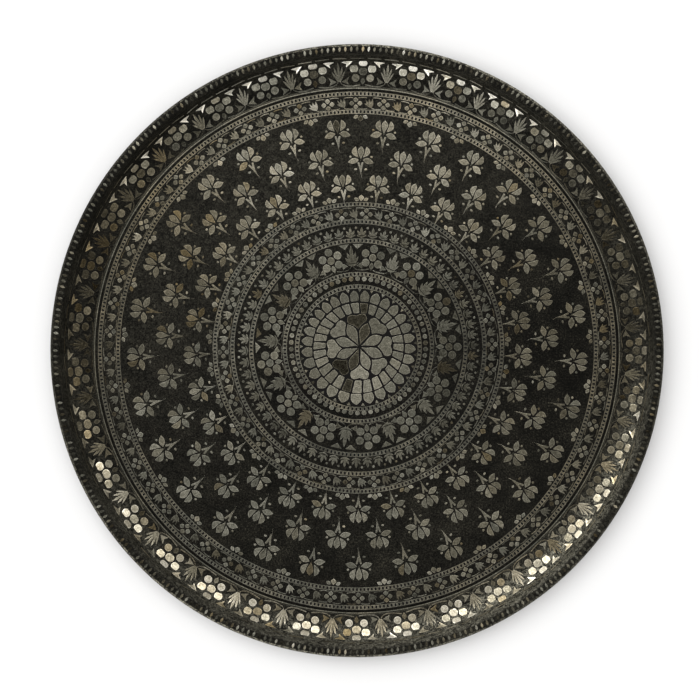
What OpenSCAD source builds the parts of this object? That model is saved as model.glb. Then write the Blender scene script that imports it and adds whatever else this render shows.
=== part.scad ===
// Round tray of blackened cast zinc alloy, inlaid all over with sheet silver.
// Millimetres, +Z up. The underside lies on z = 0 and the tray's axis is the Z axis.
// Every silver piece is a solid of its own. The larger pieces on the floor are let into recesses of the
// casting, and the finest pieces and those on the wall are laid on its surface.

/* [Casting] */
// diameter across the rim
tray_d = 300; // [280:0.5:330]
// height from the underside to the top of the rim
tray_h = 16.5; // [15.5:0.1:18]
// thickness of the floor and of the wall
metal_t = 3; // [2:0.1:4]
// inside radius of the curve between floor and wall
cove_r = 10; // [9.6:0.1:10.4]
// lean of the upper wall, in degrees from the floor
wall_lean = 65; // [60:1:70]
// thickness of the round lip
lip_d = 5.2; // [4.8:0.1:5.6]
// width of the flat land on top of the lip
lip_land_w = 2.8; // [2.6:0.1:3.4]
// how far the lip stands in front of the upper wall
lip_overhang = 0.7; // [0.3:0.1:1.2]

/* [Inlay] */
// thickness of the silver sheet
sheet_t = 0.5; // [0.3:0.05:0.8]
// how far the silver stands above the casting
sheet_rise = 0.05; // [0.02:0.01:0.15]
// play between a piece of silver and the edge of its recess
fit_gap = 0.04; // [0.02:0.01:0.08]
// thickness of the finest pieces, which are laid on the surface
foil_t = 0.2; // [0.1:0.02:0.3]
// width of the black line between neighbouring pieces
line_w = 0.55; // [0.4:0.05:0.8]
// width of the inlaid wires
wire_w = 0.45; // [0.3:0.05:0.6]

/* [Medallion] */
// how far the hand-set medallion lies off the tray's axis, to the right
medallion_x = 0.8; // [-1:0.1:1]
// how far the hand-set medallion lies off the tray's axis, upwards
medallion_y = 1.6; // [-1.6:0.1:1.6]
// number of petals round the middle
petal_count = 8; // [6:1:8]
// radius at the petal tips
petal_tip_r = 11.2; // [10:0.1:12]
// width of a petal
petal_w = 4.4; // [3.6:0.1:4.6]
// how far the lobes behind the petals reach beyond the petal tips
lobe_h = 5.1; // [4.4:0.1:5.3]
// number of staves, and of tongues outside them
stave_count = 29; // [26:1:31]
// length of a stave
stave_l = 5.8; // [4:0.1:6.4]
// length of a tongue
tongue_l = 5.1; // [4.4:0.1:6]

/* [Pierced strips] */
// width of a pierced strip
strip_w = 2.2; // [1.8:0.1:2.4]
// length along the strip of one hole
hole_l = 1.0; // [0.7:0.05:1.2]
// distance from one hole to the next along a strip
hole_pitch = 1.85; // [1.6:0.05:2.4]
/* [Medallion bands] */
// clear width of the band of dots
dot_band_w = 3.9; // [3.2:0.1:4.6]
// clear width of the band of flowers
flower_band_w = 14.4; // [13:0.1:16]
// clear width of the band of small leaves
small_leaf_band_w = 7.1; // [6.4:0.1:8]
// clear width of the inner border
inner_border_w = 6.5; // [6.2:0.1:7.4]
// clear width of the outer border
outer_border_w = 6.7; // [6.2:0.1:7.4]
// number of dots between the first two strips
dot_count = 64; // [56:1:68]
// diameter of one of these dots
dot_d = 2.3; // [1.6:0.1:2.6]
// number of flowers, and of leaves between them
flower_count = 13; // [12:1:13]
// diameter of a disc of a medallion flower
disc_d = 3.7; // [3:0.1:3.8]
// number of small leaves
small_leaf_count = 64; // [58:1:66]
// height of a small leaf
small_leaf_h = 5; // [4:0.1:5.4]
// number of flower and leaf pairs in the inner border
inner_pair_count = 34; // [30:1:35]
// number of flower and leaf pairs in the outer border
outer_pair_count = 56; // [50:1:58]
// diameter of a dot of a border flower
border_dot_d = 2.1; // [1.5:0.1:2.2]

/* [Field] */
// number of sprigs in one row, and of buds at each edge of the field
sprig_count = 29; // [26:1:29]
// distance from the outer edge of the field in to the flower hearts of the outer row
row_1_in = 9.9; // [9.2:0.1:10.4]
// distance between the flower hearts of the middle and the inner row
row_2_step = 13; // [12.6:0.1:13.8]
// distance from the inner edge of the field out to the flower hearts of the inner row
row_3_out = 8.3; // [8:0.1:8.8]
// height of the middle petal of a sprig
sprig_petal_h = 6.6; // [5.6:0.1:6.8]
// width of the middle petal of a sprig
sprig_petal_w = 3; // [2.4:0.1:3.2]
// length of a sprig's stem
stem_l = 6.6; // [5:0.1:7]
// width of a sprig's stem
stem_w = 1.1; // [0.8:0.1:1.3]
// diameter of the dots beside a sprig
sprig_dot_d = 1.3; // [0.8:0.1:1.4]

/* [Wall] */
// number of flowers, and of leaves between them, on the wall
wall_flower_count = 35; // [32:1:36]
// diameter of a disc of a wall flower
wall_disc_d = 3.6; // [3:0.1:3.8]
// number of bars on the lip
bar_count = 324; // [280:1:340]
// length of a bar across the lip
bar_l = 1.9; // [1.4:0.1:2.4]
// width of a bar along the lip
bar_w = 1; // [0.6:0.1:1.2]
// distance from the foot of the wall in to the wire beside it
foot_wire_in = 3.03; // [2.8:0.01:3.4]
// width of the plain wires at the edge of the floor
edge_wire_w = 0.6; // [0.4:0.05:0.7]
// width of the groove between strip and wire at the edge of the floor
edge_groove_w = 0.6; // [0.4:0.05:0.8]

/* [Hidden] */
$fn = 72;
silver = [0.72, 0.70, 0.66];
black = [0.16, 0.15, 0.15];
// depth of a recess
recess_d = sheet_t - sheet_rise;
// extra height with which a cutter stands out of the metal
clear_h = 1;
// middle of the lip's round section
lip_c = tray_d / 2 - lip_d / 2;
lip_z = tray_h - sqrt(pow(lip_d / 2, 2) - pow(lip_land_w / 2, 2));
// how far the straight wall cuts into the curve below it, and the length over which they overlap
seam_lap = 0.02;
seam_l = 1;
// middle of the curve between floor and wall; its radius is also where the flat floor ends
cove_z = metal_t + cove_r;
lip_reach = cove_r - seam_lap + lip_d / 2 - lip_overhang;
floor_r = lip_c - (lip_reach + (lip_z - cove_z) * cos(wall_lean)) / sin(wall_lean);
cove_c = [floor_r, cove_z];
// directions across and along the upper wall, and its length
lean_n = [sin(wall_lean), -cos(wall_lean)];
lean_d = [cos(wall_lean), sin(wall_lean)];
lean_l = (lip_c - floor_r) * lean_d[0] + (lip_z - cove_z) * lean_d[1];

// first angles, clockwise from +Y
petal_first = 180 / petal_count;
stave_first = 6.2;
flower_first = 8.75;
small_leaf_first = 1.9;
inner_pair_first = 3;
sprig_first = 6.5;
fan_first = 0.4;
outer_pair_first = 5.75;
wall_first = 1.25;

// from the inner edge of a petal's widest part to its tip, and radius of the round lobes
petal_rise = 4.3;
petal_mid_r = petal_tip_r - petal_rise;
lobe_round_r = 5.2;
lobe_r = petal_tip_r + lobe_h;
// staves and tongues follow the lobes outwards, with a black line before each
stave_in_r = lobe_r + line_w + 0.15;
stave_out_r = stave_in_r + stave_l;
tongue_in_r = stave_out_r + line_w + 0.05;
tongue_tip_r = tongue_in_r + tongue_l;
// height of the straight foot of a tongue
tongue_foot_h = 1.4;
// the strips follow the tongues outwards with a band between each two
strip_half = strip_w / 2;
strip_1_r = tongue_tip_r + line_w + 0.15 + strip_half;
strip_2_r = strip_1_r + strip_w + dot_band_w;
strip_3_r = strip_2_r + strip_w + flower_band_w;
strip_4_r = strip_3_r + strip_w + small_leaf_band_w;
strip_5_r = strip_4_r + strip_w + inner_border_w;
dot_ring_r = (strip_1_r + strip_2_r) / 2;
inner_pair_r = (strip_4_r + strip_5_r) / 2;
// flowers and leaves of the medallion are drawn for a band of this width and grow with it
flower_drawn_w = 14.4;
flower_grow = flower_band_w / flower_drawn_w;
flower_in_r = strip_2_r + strip_half;
flower_r = flower_in_r + 7.55 * flower_grow;
leaf_foot_r = flower_in_r + 2.9 * flower_grow;
leaf_h = 10 * flower_grow;
leaf_w = 3.6 * flower_grow;
// the small leaves end this far inside their outer strip
small_leaf_gap = 0.7;
small_leaf_r = strip_4_r - strip_half - small_leaf_gap - small_leaf_h;
// wires, groove and outer strips follow the foot of the wall inwards
wire_gap = 0.35;
groove_gap = 0.15;
strip_gap = 0.25;
foot_wire_r = floor_r - foot_wire_in;
edge_wire_r = foot_wire_r - edge_wire_w - wire_gap;
edge_groove_r = edge_wire_r - edge_wire_w / 2 - groove_gap - edge_groove_w / 2;
strip_7_r = edge_groove_r - edge_groove_w / 2 - strip_gap - strip_half;
strip_6_r = strip_7_r - strip_w - outer_border_w;
outer_pair_r = (strip_6_r + strip_7_r) / 2;
// the field between medallion and outer border; sprigs and buds are drawn for this width and grow with it
field_in_r = strip_5_r + strip_half;
field_out_r = strip_6_r - strip_half;
field_drawn_w = 45.2;
sprig_grow = (field_out_r - field_in_r) / field_drawn_w;
row_1_r = field_out_r - row_1_in * sprig_grow;
row_3_r = field_in_r + row_3_out * sprig_grow;
row_2_r = row_3_r + row_2_step * sprig_grow;
// the vine on the wall's foot: how far its ends rise, half the length of one piece, and the radius of its bend
wall_vine_rise = 0.77;
wall_vine_gap = 1.44;
wall_vine_r = foot_wire_r + 0.7;
wall_vine_half = PI * wall_vine_r / wall_flower_count - wall_vine_gap;
wall_vine_bend = (pow(wall_vine_half, 2) + pow(wall_vine_rise, 2)) / (2 * wall_vine_rise);
wall_flower_r = floor_r + 4;
wall_leaf_r = floor_r - 1;
wall_leaf_h = 8.6;
wall_corner_r = floor_r + 7.8;
// size of the sprigs of each row
row_1_size = sprig_grow;
row_2_size = 0.95 * sprig_grow;
row_3_size = 0.9 * sprig_grow;
// middles of the discs of a flower, from the middle disc outwards
disc_r = disc_d / 2 * flower_grow;
disc_step = (disc_d + 0.5) * flower_grow;
disc_turns = [0, 68, 132, 228, 292];
wall_discs = [[0, 0], [4.45, 1.35], [-4.45, 1.35], [3.5, -3.1], [-3.5, -3.1]];
wall_top_disc = [0, 3.85];
wall_top_d = 2.9;

// a copy every even step round the axis, clockwise from the first angle
module ring(count, first)
    for (i = [0 : count - 1])
        rotate(-first - i * 360 / count)
            children();

module at(x, y)
    translate([x, y])
        children();

module both_sides() {
    children();
    mirror([1, 0])
        children();
}

module medallion(share = 1)
    translate([medallion_x * share, medallion_y * share])
        children();

// a shape with two points, lying along Y about the origin, widened all round by a gap
module lens(l, w, g = 0) {
    r = (l * l + w * w) / (4 * w);
    intersection() {
        at(r - w / 2, 0)
            circle(r + g, $fn = 240);
        at(w / 2 - r, 0)
            circle(r + g, $fn = 240);
    }
}

// the same shape with its lower point on the origin
module blade(l, w, g = 0)
    at(0, l / 2)
        lens(l, w, g);

// a piece of wire bent to an arc about a middle on +Y, its lowest point on the origin
module bent_wire(r, half_angle) {
    reach = 2 * r;
    at(0, r)
        intersection() {
            difference() {
                circle(r + wire_w / 2, $fn = 180);
                circle(r - wire_w / 2, $fn = 180);
            }
            polygon([
                [0, 0],
                [-reach * sin(half_angle), -reach * cos(half_angle)],
                [reach * sin(half_angle), -reach * cos(half_angle)]
            ]);
        }
}

// a flat hoop
module hoop(r, w)
    difference() {
        circle(r + w / 2, $fn = 360);
        circle(r - w / 2, $fn = 360);
    }

// half width of one of a count of equal shares at a radius, less half a black line
function share_half(r, count) = r * tan(180 / count) - line_w / 2 / cos(180 / count);

module petal(g) {
    far = petal_tip_r + 2;
    start = (line_w / 2 - g) / sin(180 / petal_count);
    side = (far - start) * tan(180 / petal_count);
    intersection() {
        at(0, petal_mid_r)
            lens(2 * (petal_tip_r - petal_mid_r), petal_w, g);
        polygon([[0, start], [side, far], [-side, far]]);
    }
}

// a round lobe that fills the space between two petal tips
module lobe(g) {
    far = lobe_r + 2;
    start = (line_w / 2 - g) / sin(180 / petal_count);
    side = (far - start) * tan(180 / petal_count);
    difference() {
        intersection() {
            at(0, lobe_r - lobe_round_r)
                circle(lobe_round_r + g);
            polygon([[0, start], [side, far], [-side, far]]);
        }
        rotate(180 / petal_count)
            petal(line_w - g);
        rotate(-180 / petal_count)
            petal(line_w - g);
    }
}

module stave(g) {
    inner = share_half(stave_in_r, stave_count) + g;
    outer = share_half(stave_out_r, stave_count) + g;
    polygon([
        [-inner, stave_in_r - g],
        [inner, stave_in_r - g],
        [outer, stave_out_r + g],
        [-outer, stave_out_r + g]
    ]);
}

// a short stave with a pointed outer end
module tongue(g) {
    foot = tongue_in_r + tongue_foot_h;
    half = share_half(foot, stave_count);
    rise = tongue_tip_r - foot;
    r = (half * half + rise * rise) / (2 * half);
    intersection() {
        at(r - half, foot)
            circle(r + g);
        at(half - r, foot)
            circle(r + g);
        at(-half - 1, tongue_in_r - g)
            square([2 * half + 2, 2 * rise + tongue_foot_h]);
    }
}

// a small triangle between two tongue tips
module spandrel() {
    outer = strip_1_r - strip_half - 0.4;
    polygon([[-0.8, outer], [0.8, outer], [0, outer - 1.7]]);
}

// five round-edged discs about a sixth
module flower(g) {
    circle(disc_r + g);
    for (turn = disc_turns)
        rotate(turn)
            at(0, disc_step)
                circle(disc_r + g);
}

// a leaf of five pointed lobes that spring from one foot
module five_leaf(h, w, g = 0) {
    blade(h, w, g);
    both_sides() {
        at(0, h / 25)
            rotate(26)
                blade(h * 0.76, w * 0.8, g);
        at(0, h / 18)
            rotate(52)
                blade(h * 0.52, w * 0.66, g);
    }
}

module three_leaf(h, w) {
    blade(h, w);
    both_sides()
        at(0, h / 25)
            rotate(42)
                blade(h * 0.8, w * 0.85);
}

// four dots set crosswise
module four_dots() {
    both_sides()
        at(border_dot_d + 0.15, 0)
            circle(border_dot_d / 2);
    at(0, border_dot_d / 2 + 0.65)
        circle(border_dot_d / 2);
    at(0, -border_dot_d / 2 - 0.65)
        circle(border_dot_d / 2);
}

// the petals of a sprig, about the flower heart
module sprig_petals(size, g) {
    at(0, (sprig_petal_h / 2 + 0.5) * size)
        lens(sprig_petal_h * size, sprig_petal_w * size, g);
    both_sides() {
        at(-3.35 * size, 4.35 * size)
            rotate(28)
                lens(5.2 * size, 2.6 * size, g);
        at(-4.3 * size, 0.05 * size)
            rotate(110)
                lens(5.2 * size, 2.5 * size, g);
    }
}

// a stem that forks below the flower heart
module sprig_stem(size) {
    at(0, -2 * size)
        rotate(180)
            blade(stem_l * size, stem_w * size);
    both_sides()
        at(0, -3.6 * size)
            rotate(27)
                blade(2.9 * size, 0.95 * size);
}

module sprig_dots(size)
    both_sides() {
        at(5.2 * size, 2.1 * size)
            circle(sprig_dot_d * size / 2);
        at(2.5 * size, -3.5 * size)
            circle(sprig_dot_d * size / 2);
    }

// three small petals that spread from the edge of a strip
module fan(size) {
    at(0, 0.45 * size)
        blade(2.9 * size, 2.3 * size);
    both_sides()
        at(2.45 * size, 1.2 * size)
            rotate(-60)
                lens(2.7 * size, 1.4 * size);
}

// a point given by its distance from the middle of the curve, across and along the upper wall
function on_lean(across, along) = across * lean_n + along * lean_d;

// profile of a layer that follows floor, cove and upper wall, from a given radius outwards
module layer(from, above, below) {
    reach = 4 * cove_r;
    inner = cove_r - above;
    outer = cove_r + below;
    thick = above + below;
    at(from, metal_t - below)
        square([floor_r - from, thick]);
    translate(cove_c) {
        intersection() {
            difference() {
                circle(outer, $fn = 120);
                circle(inner, $fn = 120);
            }
            polygon([
                [0, 0],
                [0, -reach],
                [reach, -reach],
                on_lean(outer + thick, 2 * seam_l),
                on_lean(inner - thick, -seam_l)
            ]);
        }
        polygon([
            on_lean(inner - seam_lap, -seam_l),
            on_lean(outer - seam_lap, 0),
            on_lean(outer - seam_lap, lean_l),
            on_lean(inner - seam_lap, lean_l)
        ]);
    }
}

module casting()
    rotate_extrude($fn = 360) {
        layer(0, 0, metal_t);
        intersection() {
            at(lip_c, lip_z)
                circle(lip_d / 2, $fn = 90);
            at(lip_c - lip_d, tray_h - 2 * lip_d)
                square([2 * lip_d, 2 * lip_d]);
        }
    }

// a sheet of silver let into the floor, with the outline given
module in_floor()
    color(silver)
        translate([0, 0, metal_t - recess_d])
            linear_extrude(sheet_t)
                children();

// a thin sheet of silver laid on the floor, with the outline given
module on_floor()
    color(silver)
        translate([0, 0, metal_t])
            linear_extrude(foil_t)
                children();

// a thin sheet of silver bent to the wall, with the outline given as seen from above
module on_wall()
    color(silver)
        intersection() {
            linear_extrude(tray_h)
                children();
            rotate_extrude($fn = 360)
                layer(foot_wire_r, foil_t, 0);
        }

// slope of the wall at a radius, in degrees
function slope(r) = r <= floor_r ? 0 : asin(min((r - floor_r) / cove_r, sin(wall_lean)));

// height of the wall's face at a radius on floor or cove
function face_z(r) = cove_z - cove_r * cos(slope(r));

// a flat plate on the wall at a place given along and across it, set so that its edge rests on the cove
module wall_plate(x, r, reach) {
    far = sqrt(x * x + r * r);
    tilt = slope(far);
    rotate(-atan2(x, r))
        translate([0, far, face_z(far)])
            rotate([tilt, 0, 0])
                translate([0, 0, cove_r - sqrt(cove_r * cove_r - reach * reach) + fit_gap])
                    linear_extrude(foil_t)
                        children();
}

// a silver strip in the floor, pierced by a row of holes
module pierced_strip(r) {
    count = floor(2 * PI * r / hole_pitch);
    color(silver)
        translate([0, 0, metal_t - recess_d])
            difference() {
                linear_extrude(sheet_t)
                    hoop(r, strip_w);
                translate([0, 0, -clear_h])
                    linear_extrude(sheet_t + 2 * clear_h)
                        ring(count, 0)
                            at(0, r)
                                circle(hole_l / 2, $fn = 24);
            }
}

module petals_outline(g)
    medallion()
        ring(petal_count, petal_first)
            petal(g);

module lobes_outline(g)
    medallion()
        ring(petal_count, 0)
            lobe(g);

module staves_outline(g)
    medallion()
        ring(stave_count, stave_first)
            stave(g);

module tongues_outline(g)
    medallion()
        ring(stave_count, stave_first)
            tongue(g);

module dots_outline(g)
    medallion()
        ring(dot_count, 0)
            at(0, dot_ring_r)
                circle(dot_d / 2 + g);

module flowers_outline(g)
    medallion()
        ring(flower_count, flower_first)
            at(0, flower_r)
                flower(g);

module flower_buds_outline(g)
    medallion()
        ring(flower_count, flower_first)
            at(0, flower_r - 4.4 * flower_grow)
                lens(3.6 * flower_grow, 1.9 * flower_grow, g);

module leaves_outline(g)
    medallion()
        ring(flower_count, flower_first + 180 / flower_count)
            at(0, leaf_foot_r)
                five_leaf(leaf_h, leaf_w, g);

// the leaves, flowers and vine of a border of a count of pairs round a middle radius
module border_flowers(count, first, r)
    ring(count, first)
        at(0, r)
            four_dots();

module border_leaves(count, first, r)
    ring(count, first + 180 / count)
        at(0, r - 2.1)
            three_leaf(4.3, 1.9);

module border_vine(count, first, r)
    ring(count, first + 90 / count)
        at(0, r + 2.75)
            rotate(180)
                bent_wire(3, 28);

// one row of sprigs; the rows shift with the medallion the nearer they lie to it
module row_1()
    ring(sprig_count, sprig_first)
        at(0, row_1_r)
            children();

module row_2()
    medallion(0.5)
        ring(sprig_count, fan_first)
            at(0, row_2_r)
                children();

module row_3()
    medallion()
        ring(sprig_count, sprig_first)
            at(0, row_3_r)
                children();

module tray_body()
    color(black)
        difference() {
            casting();
            floor_recesses();
        }

// recesses for the pieces that are let into the floor
module floor_recesses()
    translate([0, 0, metal_t - recess_d])
        linear_extrude(recess_d + clear_h) {
            petals_outline(fit_gap);
            lobes_outline(fit_gap);
            staves_outline(fit_gap);
            tongues_outline(fit_gap);
            dots_outline(fit_gap);
            flowers_outline(fit_gap);
            flower_buds_outline(fit_gap);
            leaves_outline(fit_gap);
            row_1()
                sprig_petals(row_1_size, fit_gap);
            row_2()
                sprig_petals(row_2_size, fit_gap);
            row_3()
                sprig_petals(row_3_size, fit_gap);
            medallion()
                for (r = [strip_1_r, strip_2_r, strip_3_r, strip_4_r, strip_5_r])
                    hoop(r, strip_w + 2 * fit_gap);
            for (r = [strip_6_r, strip_7_r])
                hoop(r, strip_w + 2 * fit_gap);
            hoop(edge_groove_r, edge_groove_w);
            hoop(edge_wire_r, edge_wire_w + 2 * fit_gap);
            hoop(foot_wire_r, edge_wire_w + 2 * fit_gap);
        }

module centre_petals()
    in_floor()
        petals_outline(0);

module centre_lobes()
    in_floor()
        lobes_outline(0);

module centre_staves()
    in_floor()
        staves_outline(0);

module centre_tongues()
    in_floor()
        tongues_outline(0);

module centre_spandrels()
    on_floor()
        medallion()
            ring(stave_count, stave_first + 180 / stave_count)
                spandrel();

module dot_ring()
    in_floor()
        dots_outline(0);

module medallion_flowers()
    in_floor()
        flowers_outline(0);

module medallion_buds()
    in_floor()
        flower_buds_outline(0);

module medallion_leaves()
    in_floor()
        leaves_outline(0);

module medallion_corners()
    on_floor()
        medallion()
            ring(flower_count, flower_first + 180 / flower_count)
                at(0, strip_3_r - strip_half)
                    both_sides()
                        polygon([
                            [1, -0.6] * flower_grow,
                            [6.2, -0.95] * flower_grow,
                            [3.2, -3.1] * flower_grow
                        ]);

module medallion_side_buds()
    on_floor()
        medallion()
            ring(flower_count, flower_first + 180 / flower_count)
                at(0, flower_in_r)
                    both_sides()
                        at(3.9 * flower_grow, 3 * flower_grow)
                            rotate(-55)
                                lens(2.8 * flower_grow, 1.5 * flower_grow);

module medallion_vine()
    on_floor()
        medallion()
            ring(flower_count, flower_first + 180 / flower_count)
                both_sides()
                    at(4.55 * flower_grow, flower_in_r + 0.65 * flower_grow)
                        bent_wire(9 * flower_grow, 24);

module small_leaves()
    on_floor()
        medallion()
            ring(small_leaf_count, small_leaf_first)
                at(0, small_leaf_r)
                    three_leaf(small_leaf_h, 1.9);

module small_leaf_dots()
    on_floor()
        medallion()
            ring(small_leaf_count, small_leaf_first + 180 / small_leaf_count)
                at(0, strip_4_r - strip_half - 1.2)
                    circle(0.55);

module inner_border_flowers()
    on_floor()
        medallion()
            border_flowers(inner_pair_count, inner_pair_first, inner_pair_r);

module inner_border_leaves()
    on_floor()
        medallion()
            border_leaves(inner_pair_count, inner_pair_first, inner_pair_r);

module inner_border_vine()
    on_floor()
        medallion()
            border_vine(inner_pair_count, inner_pair_first, inner_pair_r);

module inner_fans()
    on_floor()
        medallion()
            ring(sprig_count, fan_first)
                at(0, field_in_r)
                    fan(sprig_grow);

module row_1_petals()
    in_floor()
        row_1()
            sprig_petals(row_1_size, 0);

module row_1_stems()
    on_floor()
        row_1()
            sprig_stem(row_1_size);

module row_1_dots()
    on_floor()
        row_1()
            sprig_dots(row_1_size);

module row_2_petals()
    in_floor()
        row_2()
            sprig_petals(row_2_size, 0);

module row_2_stems()
    on_floor()
        row_2()
            sprig_stem(row_2_size);

module row_2_dots()
    on_floor()
        row_2()
            sprig_dots(row_2_size);

module row_3_petals()
    in_floor()
        row_3()
            sprig_petals(row_3_size, 0);

module row_3_stems()
    on_floor()
        row_3()
            sprig_stem(row_3_size);

module row_3_dots()
    on_floor()
        row_3()
            sprig_dots(row_3_size);

module outer_fans()
    on_floor()
        ring(sprig_count, fan_first)
            at(0, field_out_r)
                rotate(180)
                    fan(sprig_grow);

module outer_border_flowers()
    on_floor()
        border_flowers(outer_pair_count, outer_pair_first, outer_pair_r);

module outer_border_leaves()
    on_floor()
        border_leaves(outer_pair_count, outer_pair_first, outer_pair_r);

module outer_border_vine()
    on_floor()
        border_vine(outer_pair_count, outer_pair_first, outer_pair_r);

module floor_edge_wire()
    in_floor()
        hoop(edge_wire_r, edge_wire_w);

module wall_foot_wire()
    in_floor()
        hoop(foot_wire_r, edge_wire_w);

module wall_vine()
    on_floor()
        ring(wall_flower_count, wall_first)
            at(0, wall_vine_r)
                bent_wire(wall_vine_bend, asin(wall_vine_half / wall_vine_bend));

module pierced_strip_1()
    medallion()
        pierced_strip(strip_1_r);

module pierced_strip_2()
    medallion()
        pierced_strip(strip_2_r);

module pierced_strip_3()
    medallion()
        pierced_strip(strip_3_r);

module pierced_strip_4()
    medallion()
        pierced_strip(strip_4_r);

module pierced_strip_5()
    medallion()
        pierced_strip(strip_5_r);

module pierced_strip_6()
    pierced_strip(strip_6_r);

module pierced_strip_7()
    pierced_strip(strip_7_r);

module wall_flowers()
    color(silver)
        ring(wall_flower_count, wall_first) {
            for (p = wall_discs)
                wall_plate(p[0], wall_flower_r + p[1], wall_disc_d / 2)
                    circle(wall_disc_d / 2);
            wall_plate(wall_top_disc[0], wall_flower_r + wall_top_disc[1], wall_top_d / 2)
                circle(wall_top_d / 2);
        }

module wall_buds()
    on_floor()
        ring(wall_flower_count, wall_first)
            at(0, floor_r - 1)
                lens(1.9, 1.5);

module wall_leaves()
    on_wall()
        ring(wall_flower_count, wall_first + 180 / wall_flower_count)
            at(0, wall_leaf_r)
                five_leaf(wall_leaf_h, 2.6);

module wall_corners()
    color(silver)
        ring(wall_flower_count, wall_first + 180 / wall_flower_count)
            for (side = [-1, 1])
                wall_plate(side * 3.5, wall_corner_r, 1.6)
                    polygon([[-2 * side, 1.4], [2 * side, 1.4], [0, -1.5]]);

module wall_side_buds()
    on_floor()
        ring(wall_flower_count, wall_first + 180 / wall_flower_count)
            at(0, floor_r)
                both_sides()
                    polygon([[2.4, -1.1], [5.2, -1.2], [4.6, -0.1]]);

module rim_bars()
    color(silver)
        translate([0, 0, tray_h])
            linear_extrude(foil_t)
                ring(bar_count, 0)
                    at(0, lip_c)
                        lens(bar_l, bar_w);

tray_body();
centre_petals();
centre_lobes();
centre_staves();
centre_tongues();
centre_spandrels();
dot_ring();
medallion_flowers();
medallion_buds();
medallion_leaves();
medallion_corners();
medallion_side_buds();
medallion_vine();
small_leaves();
small_leaf_dots();
inner_border_flowers();
inner_border_leaves();
inner_border_vine();
inner_fans();
row_1_petals();
row_1_stems();
row_1_dots();
row_2_petals();
row_2_stems();
row_2_dots();
row_3_petals();
row_3_stems();
row_3_dots();
outer_fans();
outer_border_flowers();
outer_border_leaves();
outer_border_vine();
floor_edge_wire();
wall_foot_wire();
wall_vine();
pierced_strip_1();
pierced_strip_2();
pierced_strip_3();
pierced_strip_4();
pierced_strip_5();
pierced_strip_6();
pierced_strip_7();
wall_flowers();
wall_buds();
wall_leaves();
wall_corners();
wall_side_buds();
rim_bars();
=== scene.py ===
# %% [markdown]
# A round tray of bidri work: a shallow casting of zinc alloy, blackened all over, with flowers, leaves and
# pierced strips of sheet silver let into it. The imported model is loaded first. It fixes the sizes, and the
# pieces made below stand where its parts stand.

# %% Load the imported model
import math

import bpy
import numpy as np
from mathutils import Matrix, Vector, noise


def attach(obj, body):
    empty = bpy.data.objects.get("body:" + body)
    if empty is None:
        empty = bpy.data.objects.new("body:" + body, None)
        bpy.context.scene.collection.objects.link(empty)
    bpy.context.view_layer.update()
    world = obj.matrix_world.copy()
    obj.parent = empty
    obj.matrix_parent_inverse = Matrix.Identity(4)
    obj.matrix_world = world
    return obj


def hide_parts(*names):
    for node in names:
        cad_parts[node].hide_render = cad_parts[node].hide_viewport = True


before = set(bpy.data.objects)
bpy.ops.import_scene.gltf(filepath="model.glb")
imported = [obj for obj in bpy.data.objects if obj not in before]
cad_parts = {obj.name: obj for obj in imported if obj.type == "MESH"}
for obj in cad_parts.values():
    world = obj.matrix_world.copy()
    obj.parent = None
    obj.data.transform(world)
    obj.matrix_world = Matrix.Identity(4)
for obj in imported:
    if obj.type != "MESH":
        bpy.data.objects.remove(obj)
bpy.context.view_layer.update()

MM = 0.001
print("parts loaded:", len(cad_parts))

# %% [markdown]
# The tray is seen from straight above, with the top of the picture towards +Y. A camera hangs over it with a
# long lens, so that the wall is hardly foreshortened. The lens is worked out from the height of the camera and
# from the width that the picture has at the level of the lip. It hangs a little to the left of the axis, because
# the tray lies right of the middle of the picture.

# %% Camera
LIP_Z = 14.31
VIEW_W = 342.4
CAMERA_X = -3.45
CAMERA_Y = 0.3
CAMERA_UP = 1100.0
SENSOR = 36.0

camera_data = bpy.data.cameras.new("overhead_camera")
camera_data.sensor_width = SENSOR
camera_data.lens = SENSOR * CAMERA_UP / VIEW_W
camera = bpy.data.objects.new("overhead_camera", camera_data)
camera.location = (CAMERA_X * MM, CAMERA_Y * MM, (LIP_Z + CAMERA_UP) * MM)
bpy.context.scene.collection.objects.link(camera)
bpy.context.scene.camera = camera
print("lens", round(camera_data.lens, 1), "mm")

# %% [markdown]
# Colours are written as sRGB hex values, as a colour picker shows them, and one function turns them into the
# linear values that the shader works with. A second small function adds a node, sets it and links it.

# %% Colour and node helpers
def srgb(code):
    parts = [int(code[i:i + 2], 16) / 255 for i in (1, 3, 5)]
    return [c / 12.92 if c <= 0.04045 else ((c + 0.055) / 1.055) ** 2.4 for c in parts] + [1.0]


def link(node, links):
    for key, source in links.items():
        node.id_data.links.new(source, node.inputs[key])


def add(tree, kind, settings=None, links=None):
    node = tree.nodes.new(kind)
    for key, value in (settings or {}).items():
        if isinstance(key, str) and hasattr(node, key):
            setattr(node, key, value)
        else:
            node.inputs[key].default_value = value
    link(node, links or {})
    return node


def ramp_stops(node, *stops):
    ramp = node.color_ramp
    while len(ramp.elements) < len(stops):
        ramp.elements.new(1.0)
    for element, (place, colour) in zip(ramp.elements, stops):
        element.position = place
        element.color = srgb(colour)


def start_material(name):
    material = bpy.data.materials.new(name)
    material.use_nodes = True
    tree = material.node_tree
    tree.nodes.clear()
    shader = add(tree, "ShaderNodeBsdfPrincipled")
    add(tree, "ShaderNodeOutputMaterial", links={"Surface": shader.outputs[0]})
    return material, tree, shader


def per_metre(millimetres):
    """Scale of a texture whose features have this size."""
    return 1 / (millimetres * MM)


def speckled(tree, at, size, detail, roughness, distortion=0.0):
    settings = {"Scale": per_metre(size), "Detail": detail, "Roughness": roughness, "Distortion": distortion}
    return add(tree, "ShaderNodeTexNoise", settings, {"Vector": at}).outputs[0]


def maths(tree, operation, settings, links):
    return add(tree, "ShaderNodeMath", {"operation": operation, **settings}, links).outputs[0]


print("middle grey in linear light:", round(srgb("#808080")[0], 3))

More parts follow.
